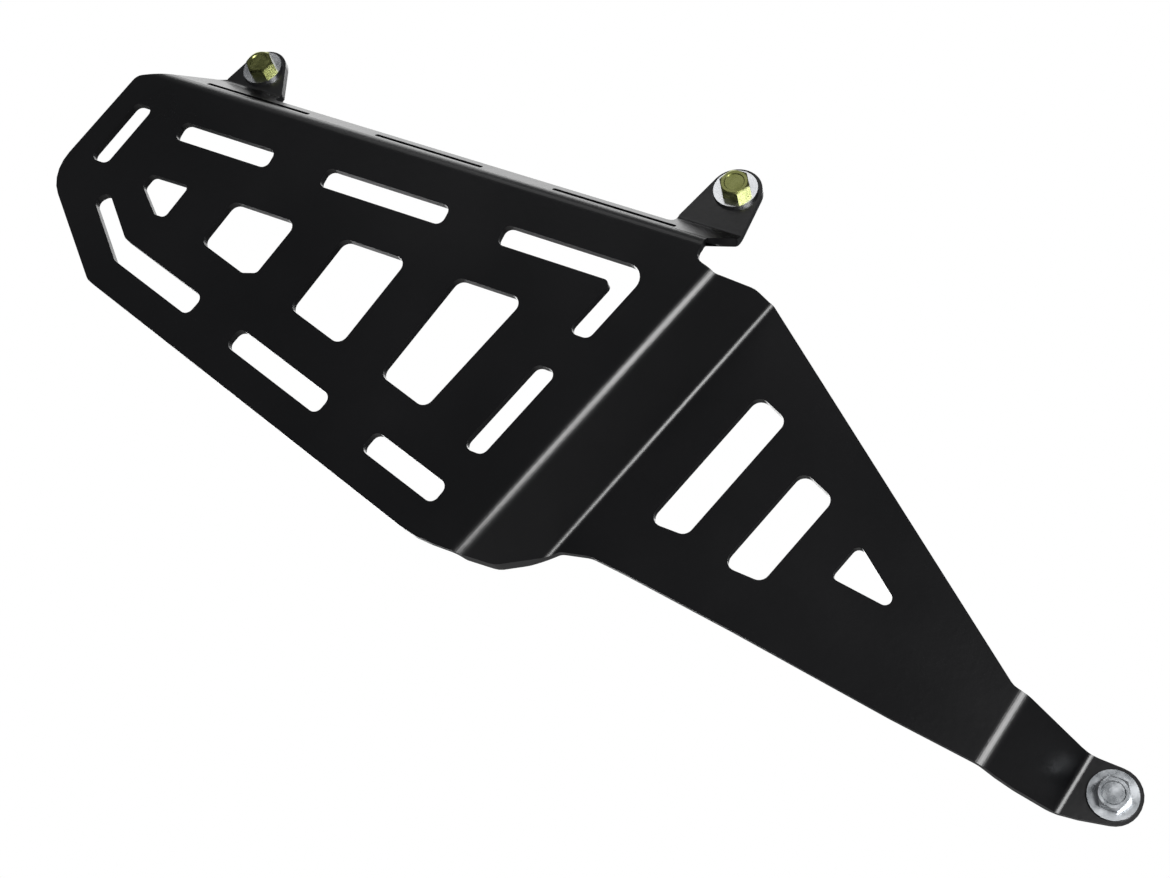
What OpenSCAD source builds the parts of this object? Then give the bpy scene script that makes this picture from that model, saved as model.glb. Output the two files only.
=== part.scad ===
// Side frame for a motorcycle pannier: one folded aluminium plate held on by three bolts.
// x runs forward, y runs inward to the motorcycle and z runs up; millimetres.
// The origin is on the axis of the lower bolt, where the plate is clamped to the motorcycle.

/* [Sheet] */
// thickness of the folded sheet
sheet_t = 4; // [3:0.5:5]
// inside radius of every fold
fold_r = 4; // [3:0.5:5]
// how far the rear of the plate is raised, in degrees
rake = 36; // [0:1:45]

/* [Steps] */
// how far the middle panel stands out from the front lug
step_front = 40; // [32:1:48]
// how far the rear panel stands out from the middle panel
step_rear = 32; // [26:1:38]

/* [Top flange] */
// angle between the rear panel and its folded top flange
flange_angle = 45; // [35:1:55]
// width of the flange between its ears
flange_w = 11.5; // [10:0.5:13]
// how far the ears lean in from the plane of the rear panel
ear_lean = 7; // [0:1:12]
// height of the front upper bolt above the fold of its ear
front_ear_h = 23.5; // [20:0.5:30]
// height of the rear upper bolt above the fold of its ear
rear_ear_h = 13.5; // [12.5:0.5:20]

/* [Openings] */
// width of the strap slots
strap_slot_w = 11; // [8:0.5:12]
// width of the fine slots in the top flange
fine_slot_w = 3; // [2:0.5:4]
// radius in the corners of the large openings
window_r = 5; // [2:0.5:6]
// radius in the corners of the strap slots
slot_r = 4; // [1:0.5:4]

/* [Fasteners] */
// nominal diameter of the three bolts
bolt_d = 8; // [6:1:8]
// width across the flats of the bolt heads
head_af = 13; // [10:0.5:14]
// height of the bolt heads
head_h = 5.3; // [4:0.1:6]
// outside diameter of the washers
washer_d = 21; // [16:0.5:22]
// thickness of the washers
washer_t = 1.6; // [1:0.1:2]
// length of thread left free behind the plate
thread_free = 16; // [10:1:30]

/* [Hidden] */
// play between a bolt and the hole it goes through
bolt_play = 1;
// play between a bolt and its washer
washer_play = 0.4;
// smoothness of the round features, and of the folds in degrees
$fn = 64;
fold_step = 6;

// slope of the top edge and of the strap slots below it, whose sine and cosine have six digits
top_slope = 16.81;
// distance of the top fold from the origin, across that slope
top_fold = 151.5;
// how far the round of the top fold reaches on either side of it, and where it starts
fold_reach = (fold_r + sheet_t) * tan(flange_angle / 2);
fold_start = top_fold - fold_reach;
// lean of the two forward folds, also an angle with a sine and cosine of about six digits
front_lean = 7.514;
// level of each panel's outer face
y_lug = -sheet_t;
y_mid = y_lug - step_front;
y_rear = y_mid - step_rear;
// where the outer faces of two panels meet at each fold, and the run between two folds
fold_1 = -263;
run_rear = 18.5;
fold_3 = -45;
run_front = 29;
// how much is taken past a face by a cutter
over = 3;

// lug at the front end and the ears of the top flange
lug_r = 12;
lug_end_r = 11.9;
ear_r = 12.5;
// distance of the ear folds from the top fold, along the flange
ear_fold = 17;
// places of the two ears along the top fold
front_ear_u = -246.2;
rear_ear_u = -519.8;
// width of each ear at its root, behind and ahead of its bolt
front_root = [19.2, 13.5];
rear_root = [16, 20];
// straight part of an ear above its fold
root_rise = 2;
// place of the notch under the front ear, and where the top fold ends above it
notch_x = -275.8;
front_nose = (notch_x + fold_start * sin(top_slope)) / cos(top_slope) - 0.06;
// the two upper bolts: place along the top fold and height above the fold of the ear
upper_bolts = [[front_ear_u, front_ear_h], [rear_ear_u, rear_ear_h]];
// how far the heads of the upper front, upper rear and lower bolts are turned
head_turns = [5, 18, 18];
// lower side of the strap slots, measured across the slope
slot_low = 118.5;

module bolt_hole_2d() circle(d = bolt_d + bolt_play);

// point rounded to a hundred-thousandth, so that faces meant to lie flush are exactly flush
function exact(p) = [round(p[0] * 1e5) / 1e5, round(p[1] * 1e5) / 1e5];

// flat outline from corners [x, y, radius], with an arc in steps of about arc_step degrees at each
function arced(corners, arc_step) =
    let (n = len(corners),
        at = [for (c = corners) [c[0], c[1]]],
        back = [for (i = [0 : n - 1]) let (d = at[(i + n - 1) % n] - at[i]) d / norm(d)],
        on = [for (i = [0 : n - 1]) let (d = at[(i + 1) % n] - at[i]) d / norm(d)])
    [for (i = [0 : n - 1])
        let (r = corners[i][2], half = acos(back[i] * on[i]) / 2,
            side = sign(on[i][0] * back[i][1] - on[i][1] * back[i][0]),
            steps = r > 0 ? max(1, ceil((180 - 2 * half) / arc_step)) : 0,
            centre = at[i] + (back[i] + on[i]) / norm(back[i] + on[i]) * r / sin(half),
            start = atan2(back[i][1], back[i][0]) + side * 90)
        for (k = [0 : steps])
            let (turn = start + side * (180 - 2 * half) * k / max(1, steps))
                exact(r > 0 ? centre + r * [cos(turn), sin(turn)] : at[i])];

module rounded(corners, arc_step = 15) polygon(arced(corners, arc_step));

// all corners of one outline with the same radius
function same_r(points, r) = [for (p = points) [p[0], p[1], r]];

// outline of the folded sheet from the run of one face, with the sheet on the left of it
function folded(face) =
    let (n = len(face),
        way = [for (i = [0 : n - 2]) let (d = face[i + 1] - face[i]) d / norm(d)],
        left = [for (w = way) [-w[1], w[0]]],
        turns_left = [for (i = [0 : n - 1])
            i > 0 && i < n - 1 && way[max(i, 1) - 1] * left[min(i, n - 2)] < 0],
        other = [for (i = [0 : n - 1])
            let (a = left[max(i, 1) - 1], b = left[min(i, n - 2)]) face[i] + sheet_t * (a + b) / (1 + a * b)],
        ended = [for (i = [0 : n - 1]) i == 0 || i == n - 1])
    concat(
        [for (i = [0 : n - 1])
            [face[i][0], face[i][1], ended[i] ? 0 : fold_r + (turns_left[i] ? sheet_t : 0)]],
        [for (i = [n - 1 : -1 : 0])
            [other[i][0], other[i][1], ended[i] ? 0 : fold_r + (turns_left[i] ? 0 : sheet_t)]]);

// profile that steps inward between two panels, from start to end
module step_2d(start, first, run, step, end) {
    rounded(folded([[start, 0], [first, 0], [first + run, step], [end, step]]), fold_step);
}

// rear panel, its step and the middle panel
module rear_step() {
    tall = 260;
    translate([0, y_rear, -tall / 2])
        linear_extrude(tall) step_2d(-620, fold_1, run_rear, step_rear, -110);
}

// middle panel, its step and the front lug
module front_step() {
    tall = 180;
    translate([0, y_mid, 0]) rotate([0, -front_lean, 0]) translate([0, 0, -tall / 2])
        linear_extrude(tall) step_2d(-140, fold_3, run_front, step_front, 30);
}

// point seen from the side, from its places along and across the slope of the top edge
function sloped(u, v) = [u * cos(top_slope) - v * sin(top_slope), u * sin(top_slope) + v * cos(top_slope)];

// side view of the plate, with the top edge left open above its fold
module side_outline() {
    rear_end = sloped(rear_ear_u, top_fold + 20);
    front_end = [notch_x, (fold_start + notch_x * sin(top_slope)) / cos(top_slope)];
    beyond = 120;
    rounded([
        [-596.6, -27.5, 6], [-591.5, -96.6, 24], [-522.4, -124.9, 8], [-284.8, -112.1, 60],
        [-262, -104.1, 3], [-253.8, -97.8, 8], [-246.4, -83, 12], [-241.5, -73.5, 6],
        [-229, -66.2, 12], [-212, -62.4, 40], [-156.9, -51.6, 0], [-82.2, -38.1, 0],
        [-33, -27.9, 50], [-8.4, -18.7, 50], [lug_r, lug_r * (tan(30) - 1 / cos(30)), lug_end_r],
        [lug_r, lug_r * (tan(18) + 1 / cos(18)), lug_end_r], [-17, 7.7, 40], [-52, 3.9, 8], [-243.8, 77.4, 4],
        [-251, 75.6, 6], [-262, 65.3, 3], [notch_x, 65.3, 6], [front_end[0], front_end[1], 0],
        [front_end[0] + beyond, front_end[1] + beyond * tan(top_slope), 0],
        [front_end[0] + beyond, front_end[1] + 2 * beyond, 0], [rear_end[0], rear_end[1], 0]
    ]);
}

// openings of the rear panel, seen from outside
module rear_openings() {
    steep = same_r([[-583, -38.9], [-579.5, -77.3], [-568, -73.9], [-571.5, -35.4]], slot_r);
    rounded(steep);
    for (ends = [[-535.5, -475], [-442.5, -369]])
        rotate(top_slope) translate([ends[0], slot_low])
            rounded(same_r([[0, 0], [ends[1] - ends[0], 0], [ends[1] - ends[0], strap_slot_w],
                [0, strap_slot_w]], slot_r));
    angled_slot();
    front_slot_x = -297.5;
    rounded(same_r([[front_slot_x, -68.4], [front_slot_x + strap_slot_w, -65],
        [front_slot_x + strap_slot_w, -14.2], [front_slot_x, -17.5]], slot_r));
    rounded(same_r([[-540.9, -63], [-540.1, -70.4], [-520.6, -77.9], [-514.4, -75.8], [-517, -55.2]], 3));
    rounded([[-489.9, -47.2, window_r], [-486.8, -73.4, window_r], [-454.4, -71.9, 3],
        [-447.8, -67.4, 3], [-451, -35.3, window_r]]);
    rounded(same_r([[-424.3, -27.2], [-419.5, -70.1], [-382.7, -68.4], [-387.7, -16.1]], window_r));
    rounded(same_r([[-360.7, -8], [-355.7, -66.9], [-325, -65.6], [-325, 3]], window_r));
    rounded(same_r([[-432.3, -92.6], [-431.7, -103.8], [-366.2, -100.3], [-366.8, -89.2]], slot_r));
    rounded(same_r([[-336.2, -87.4], [-335.6, -98.7], [-288.7, -96.2], [-289.3, -85]], slot_r));
    rounded([[-553, -84, slot_r], [-556.8, -92.3, slot_r], [-518.4, -108.6, slot_r],
        [-460.9, -105.4, slot_r], [-461.5, -93.4, slot_r], [-523.5, -96.8, 6]]);
}

// slot that runs along the top edge and turns down at its front end
module angled_slot() {
    left = -338;
    leg_x = -297.5;
    leg_low = 2.5;
    up = [-sin(top_slope), cos(top_slope)];
    along = [cos(top_slope), sin(top_slope)];
    low_left = along * left + up * slot_low;
    high_left = along * left + up * (slot_low + strap_slot_w);
    leg_right = leg_x + strap_slot_w;
    rise = tan(top_slope);
    rounded([[low_left[0], low_left[1], slot_r],
        [leg_x, low_left[1] + (leg_x - low_left[0]) * rise, 3],
        [leg_x, leg_low, slot_r], [leg_right, leg_low + strap_slot_w * rise, slot_r],
        [leg_right, high_left[1] + (leg_right - high_left[0]) * rise, 8],
        [high_left[0], high_left[1], slot_r]]);
}

// openings of the middle panel
module middle_openings() {
    rounded(same_r([[-219.9, 39.4], [-219.9, -37.8], [-200.9, -31.9], [-200.9, 37.2]], window_r));
    rounded(same_r([[-180.1, 23.4], [-180.1, -32.4], [-160.4, -27], [-160.4, 21.2]], window_r));
    rounded(same_r([[-139.5, 12.6], [-139.5, -7.1], [-104, -0.9]], 3));
}

// takes its children, drawn on the outer face of a panel, to that face
module on_panel(level) {
    translate([0, level, 0]) rotate([90, 0, 0]) children();
}

// frame of the top flange: x along the fold, y across the flange, z out of its face
module on_flange() {
    on_panel(y_rear) rotate(top_slope) translate([0, top_fold, 0])
        rotate([-flange_angle, 0, 0]) children();
}

// frame of an ear, at its fold
module on_ear(u) {
    on_flange() translate([u, ear_fold, 0]) rotate([flange_angle - ear_lean, 0, 0]) children();
}

// profile from an ear over the flange and the top fold into the rear panel, drawn across the folds
module top_2d() {
    below = 5;
    root = ear_fold * [cos(flange_angle), -sin(flange_angle)];
    tip = root + (front_ear_h + rear_ear_h + ear_r) * [cos(ear_lean), -sin(ear_lean)];
    rounded(folded([tip, root, [0, 0], [-fold_reach - below, 0]]), fold_step);
}

// flange between the two ears, with its straight roots for them and its slanting front end
module flange_outline() {
    front = front_ear_u + front_root[1];
    low = -12;
    rounded([
        [rear_ear_u, low, 0], [front_nose, low, 0], [front_nose, fold_reach, 0], [front, 14, 3],
        [front, ear_fold, 0], [front_ear_u - front_root[0], ear_fold, 0],
        [front_ear_u - front_root[0], flange_w, 3], [rear_ear_u + rear_root[1], flange_w, 3],
        [rear_ear_u + rear_root[1], ear_fold, 0], [rear_ear_u, ear_fold, 0]
    ]);
}

// point where a line from the root of an ear touches its round end
function touch(root, height, side) =
    let (q = [root, root_rise - height], a = atan2(q[1], q[0]) + acos(ear_r / norm(q)))
        [side * ear_r * cos(a), height + ear_r * sin(a)];

// ear seen square to its face: straight roots, tapering sides and a round end about its bolt
module ear_outline(height, root) {
    polygon([[-root[0], -3], [root[1], -3], [root[1], root_rise], touch(root[1], height, 1),
        [0, height], touch(root[0], height, -1), [-root[0], root_rise]]);
    translate([0, height]) circle(ear_r);
}

// top fold with the flange and both ears
module top_edge() {
    high = 220;
    intersection() {
        on_panel(y_rear) rotate(top_slope) translate([-610, top_fold, 0])
            rotate([90, 0, 90]) linear_extrude(420) top_2d();
        union() {
            on_panel(over) linear_extrude(-y_rear + 2 * over) intersection() {
                side_outline();
                rotate(top_slope) translate([-650, top_fold - 40]) square([650 + rear_ear_u, high]);
            }
            intersection() {
                on_flange() translate([0, 0, -20]) linear_extrude(40) flange_outline();
                on_panel(over) linear_extrude(-y_rear + 2 * over) side_outline();
            }
            on_ear(front_ear_u) translate([0, 0, -8]) linear_extrude(16)
                ear_outline(front_ear_h, front_root);
            on_ear(rear_ear_u) translate([0, 0, -8]) linear_extrude(16)
                ear_outline(rear_ear_h, rear_root);
        }
    }
}

// fine slots along the top flange
module fine_slots() {
    middle = 6;
    for (ends = [[-538.7, -472.2], [-430.3, -366.9], [-326.8, -260.8]])
        translate([ends[0], middle - fine_slot_w / 2]) rounded(same_r(
            [[0, 0], [ends[1] - ends[0], 0], [ends[1] - ends[0], fine_slot_w], [0, fine_slot_w]],
            fine_slot_w / 3));
}

module side_plate() color("#26282b") rotate([0, rake, 0]) {
    difference() {
        union() {
            intersection() {
                union() {
                    rear_step();
                    front_step();
                }
                on_panel(over) linear_extrude(-y_rear + 2 * over) intersection() {
                    side_outline();
                    rotate(top_slope) translate([-700, fold_start - 400]) square([1100, 400]);
                }
            }
            top_edge();
        }
        on_panel(y_rear + sheet_t + over) linear_extrude(sheet_t + 2 * over) rear_openings();
        on_panel(y_mid + sheet_t + over) linear_extrude(sheet_t + 2 * over) middle_openings();
        on_flange() translate([0, 0, -sheet_t - over]) linear_extrude(sheet_t + 2 * over) fine_slots();
        on_panel(over) linear_extrude(sheet_t + 2 * over) bolt_hole_2d();
        for (ear = upper_bolts) on_ear(ear[0]) translate([0, ear[1], -sheet_t - over])
            linear_extrude(sheet_t + 2 * over) bolt_hole_2d();
    }
}

// takes its children, drawn on the z axis with the clamped face at zero, to each bolt
module at_lower() rotate([0, rake, 0]) on_panel(y_lug) children();
module at_upper(ear) rotate([0, rake, 0]) on_ear(ear[0]) translate([0, ear[1], 0]) children();

// hexagon head with turned-down corners and a shallow dish, on a shank that ends in free thread
module bolt(turn) {
    head_d = head_af / cos(30);
    crown = 0.9;
    dish = 0.4;
    point = 1;
    relief = 0.8;
    translate([0, 0, washer_t]) difference() {
        intersection() {
            rotate(turn) cylinder(h = head_h, d = head_d, $fn = 6);
            union() {
                cylinder(h = head_h - crown, d = head_d + 1);
                translate([0, 0, head_h - crown])
                    cylinder(h = crown, d1 = head_d + 1, d2 = head_af - 0.6);
            }
        }
        translate([0, 0, head_h - dish]) cylinder(h = dish + 1, d1 = head_af - 4, d2 = head_af - 1.2);
    }
    translate([0, 0, -sheet_t]) cylinder(h = sheet_t + washer_t + head_h / 2, d = bolt_d - relief);
    translate([0, 0, point - sheet_t - thread_free]) cylinder(h = thread_free - point, d = bolt_d);
    translate([0, 0, -sheet_t - thread_free]) cylinder(h = point, d1 = bolt_d - 1.6, d2 = bolt_d);
}

module washer() {
    difference() {
        cylinder(h = washer_t, d = washer_d);
        translate([0, 0, -over]) cylinder(h = washer_t + 2 * over, d = bolt_d + washer_play);
    }
}

module upper_front_bolt() color("#a9a860") at_upper(upper_bolts[0]) bolt(head_turns[0]);
module upper_front_washer() color("#c9c9cb") at_upper(upper_bolts[0]) washer();
module upper_rear_bolt() color("#a9a860") at_upper(upper_bolts[1]) bolt(head_turns[1]);
module upper_rear_washer() color("#c9c9cb") at_upper(upper_bolts[1]) washer();
module lower_bolt() color("#b9b9bc") at_lower() bolt(head_turns[2]);
module lower_washer() color("#c9c9cb") at_lower() washer();

side_plate();
upper_front_bolt();
upper_front_washer();
upper_rear_bolt();
upper_rear_washer();
lower_bolt();
lower_washer();
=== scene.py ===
import bpy
import math
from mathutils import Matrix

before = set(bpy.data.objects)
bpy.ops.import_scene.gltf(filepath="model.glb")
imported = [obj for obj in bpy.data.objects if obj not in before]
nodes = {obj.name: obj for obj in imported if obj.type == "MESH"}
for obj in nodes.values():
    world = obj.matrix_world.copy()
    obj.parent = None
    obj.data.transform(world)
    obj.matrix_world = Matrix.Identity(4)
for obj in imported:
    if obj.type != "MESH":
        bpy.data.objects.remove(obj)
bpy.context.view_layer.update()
bpy.ops.object.select_all(action="DESELECT")

# Helpers for the surfaces. Noise is in object coordinates, so scales are per metre.
# Each returns the output that the next node takes. dress() gives a piece its material
# and smooths its curved faces.

sharp_angle = math.radians(28)


def new_material(name):
    material = bpy.data.materials.new(name)
    material.use_nodes = True
    tree = material.node_tree
    return material, tree, tree.nodes["Principled BSDF"]


def noise(tree, coords, scale, detail, rough=0.5):
    tex = tree.nodes.new("ShaderNodeTexNoise")
    tex.inputs["Scale"].default_value = scale
    tex.inputs["Detail"].default_value = detail
    tex.inputs["Roughness"].default_value = rough
    tree.links.new(coords.outputs["Object"], tex.inputs["Vector"])
    return tex.outputs["Fac"]


def ramp(tree, source, start, end):
    node = tree.nodes.new("ShaderNodeValToRGB")
    first, last = node.color_ramp.elements[0], node.color_ramp.elements[1]
    first.position, first.color = start
    last.position, last.color = end
    tree.links.new(source, node.inputs["Fac"])
    return node.outputs["Color"]


def spread(tree, source, low, high):
    node = tree.nodes.new("ShaderNodeMapRange")
    node.inputs["From Min"].default_value = 0.3
    node.inputs["From Max"].default_value = 0.7
    node.inputs["To Min"].default_value = low
    node.inputs["To Max"].default_value = high
    tree.links.new(source, node.inputs["Value"])
    return node.outputs["Result"]


def bump(tree, source, strength, distance, under=None):
    node = tree.nodes.new("ShaderNodeBump")
    node.inputs["Strength"].default_value = strength
    node.inputs["Distance"].default_value = distance
    tree.links.new(source, node.inputs["Height"])
    if under is not None:
        tree.links.new(under, node.inputs["Normal"])
    return node.outputs["Normal"]


def dress(name, material):
    piece = nodes[name]
    piece.data.materials.clear()
    piece.data.materials.append(material)
    bpy.ops.object.select_all(action="DESELECT")
    piece.select_set(True)
    bpy.context.view_layer.objects.active = piece
    bpy.ops.object.shade_smooth_by_angle(angle=sharp_angle)
    piece.select_set(False)


# The plate: one piece of folded sheet aluminium under a satin black powder coat. It is
# clamped to the motorcycle by the lug and by the two ears. Its cut edges stay sharp: the
# bevel takes hold only where two faces of the loaded mesh share an edge.
plate_edge = 0.0006
darker_black = (0.0020, 0.0020, 0.0024, 1)
paler_black = (0.0032, 0.0031, 0.0036, 1)

coat, tree, shader = new_material("black powder coat")
where = tree.nodes.new("ShaderNodeTexCoord")
cloud = noise(tree, where, scale=14, detail=4)
grain = noise(tree, where, scale=900, detail=3, rough=0.6)
peel = noise(tree, where, scale=320, detail=2)
shade = ramp(tree, cloud, (0.35, darker_black), (0.7, paler_black))
tree.links.new(shade, shader.inputs["Base Color"])
gloss = spread(tree, cloud, 0.27, 0.33)
tree.links.new(gloss, shader.inputs["Roughness"])
shader.inputs["Specular IOR Level"].default_value = 0.4
skin = bump(tree, peel, strength=0.12, distance=0.0004)
skin = bump(tree, grain, strength=0.10, distance=0.0002, under=skin)
tree.links.new(skin, shader.inputs["Normal"])
dress("side_plate", coat)
bevel = nodes["side_plate"].modifiers.new("broken edges", "BEVEL")
bevel.limit_method = "ANGLE"
bevel.angle_limit = sharp_angle
bevel.width = plate_edge
bevel.segments = 3
bevel.use_clamp_overlap = True
bevel.harden_normals = True

# The bolts and washers: six turned and plated steel pieces. Each bolt clamps the sheet
# over a broad plain washer and screws into the motorcycle behind it. The upper bolts
# are plated yellow-green over bright clear-zinc washers. The lower pair is the same
# clear zinc with a rougher finish, and its colour is painted darker as painted shade.


def plating(name, low, high, rough):
    metal, tree, shader = new_material(name)
    where = tree.nodes.new("ShaderNodeTexCoord")
    patch = noise(tree, where, scale=160, detail=4)
    speck = noise(tree, where, scale=1400, detail=3)
    tone = ramp(tree, patch, (0.35, low), (0.68, high))
    tree.links.new(tone, shader.inputs["Base Color"])
    shader.inputs["Metallic"].default_value = 1.0
    dull = spread(tree, patch, rough, rough + 0.12)
    tree.links.new(dull, shader.inputs["Roughness"])
    skin = bump(tree, speck, strength=0.12, distance=0.00008)
    tree.links.new(skin, shader.inputs["Normal"])
    return metal


yellow_zinc = plating("yellow zinc", (0.13, 0.14, 0.045, 1), (0.25, 0.265, 0.10, 1), 0.20)
clear_zinc = plating("clear zinc", (0.62, 0.63, 0.65, 1), (0.80, 0.81, 0.83, 1), 0.18)
# The same clear zinc painted darker: painted shade on the lower bolt and washer.
shaded_clear_zinc = plating("clear zinc, painted shade", (0.36, 0.38, 0.40, 1), (0.56, 0.58, 0.60, 1), 0.24)
for name, metal in (("upper_front_bolt", yellow_zinc), ("upper_rear_bolt", yellow_zinc),
                    ("upper_front_washer", clear_zinc), ("upper_rear_washer", clear_zinc),
                    ("lower_bolt", shaded_clear_zinc), ("lower_washer", shaded_clear_zinc)):
    dress(name, metal)

# The floor: a plain pale studio floor, well below the frame, which hangs in the air.
# The camera sees it nearly white, while it throws only a dim light back on the frame.
floor_z = -0.45
floor_size = 80
glow_share = 0.97

bpy.ops.mesh.primitive_plane_add(size=floor_size, location=(0, 0, floor_z))
floor = bpy.context.object
floor.name = "floor"
pale, tree, shader = new_material("pale floor")
shader.inputs["Base Color"].default_value = (0.30, 0.30, 0.30, 1)
shader.inputs["Roughness"].default_value = 0.9
shader.inputs["Specular IOR Level"].default_value = 0.1
path = tree.nodes.new("ShaderNodeLightPath")
glow = tree.nodes.new("ShaderNodeEmission")
glow.inputs["Color"].default_value = (0.95, 0.95, 0.95, 1)
mix = tree.nodes.new("ShaderNodeMixShader")
share = tree.nodes.new("ShaderNodeMath")
share.operation = "MULTIPLY"
share.inputs[1].default_value = glow_share
tree.links.new(path.outputs["Is Camera Ray"], share.inputs[0])
tree.links.new(share.outputs["Value"], mix.inputs["Fac"])
tree.links.new(shader.outputs["BSDF"], mix.inputs[1])
tree.links.new(glow.outputs["Emission"], mix.inputs[2])
tree.links.new(mix.outputs["Shader"], tree.nodes["Material Output"].inputs["Surface"])
floor.data.materials.append(pale)

# The surroundings: white to the camera, and a dim cool light from all sides otherwise.
world = bpy.data.worlds.new("studio")
bpy.context.scene.world = world
world.use_nodes = True
tree = world.node_tree
tree.nodes.clear()
out = tree.nodes.new("ShaderNodeOutputWorld")
mix = tree.nodes.new("ShaderNodeMixShader")
path = tree.nodes.new("ShaderNodeLightPath")
soft = tree.nodes.new("ShaderNodeBackground")
soft.inputs["Color"].default_value = (0.95, 0.97, 1.0, 1)
soft.inputs["Strength"].default_value = 0.15
white = tree.nodes.new("ShaderNodeBackground")
white.inputs["Color"].default_value = (1, 1, 1, 1)
white.inputs["Strength"].default_value = 1.0
tree.links.new(path.outputs["Is Camera Ray"], mix.inputs["Fac"])
tree.links.new(soft.outputs["Background"], mix.inputs[1])
tree.links.new(white.outputs["Background"], mix.inputs[2])
tree.links.new(mix.outputs["Shader"], out.inputs["Surface"])

# The lights: four soft boxes, each turned to face the middle of the frame. They light
# the top flange, the folds, the upper bolts and the inner side, in that order.
middle = (-0.24, -0.04, 0.17)


def light(name, place, width, height, power):
    bpy.ops.object.light_add(type="AREA", location=place)
    lamp = bpy.context.object
    lamp.name = name
    lamp.data.shape = "RECTANGLE"
    lamp.data.size = width
    lamp.data.size_y = height
    lamp.data.energy = power
    x, y, z = (middle[i] - place[i] for i in range(3))
    lamp.rotation_euler = (math.atan2(math.hypot(x, y), -z), 0, math.atan2(-x, y))


light("top light", (-0.64, 0.59, 1.79), width=2.0, height=1.4, power=24)
light("fold light", (0.84, -1.55, -0.16), width=1.05, height=0.62, power=44)
light("upper light", (-0.62, -1.25, 1.75), width=0.8, height=0.7, power=2.6)
light("rear light", (-0.9, 2.0, 0.9), width=2.0, height=1.4, power=34)

# The camera stands where the photograph was taken from, low and a little ahead. Its
# focal length was fitted in pixels of the photograph.
camera_place = (-0.026064, -0.70077, -0.127675)
camera_turn = (111.2257, -7.1027, 14.7973)
sensor_mm = 36
focal_px = 1600
photo_width_px = 1170

bpy.ops.object.camera_add(location=camera_place,
                          rotation=tuple(math.radians(a) for a in camera_turn))
camera = bpy.context.object
camera.data.sensor_width = sensor_mm
camera.data.lens = sensor_mm * focal_px / photo_width_px
camera.data.clip_start = 0.02
bpy.context.scene.camera = camera
bpy.context.scene.view_settings.view_transform = "Standard"
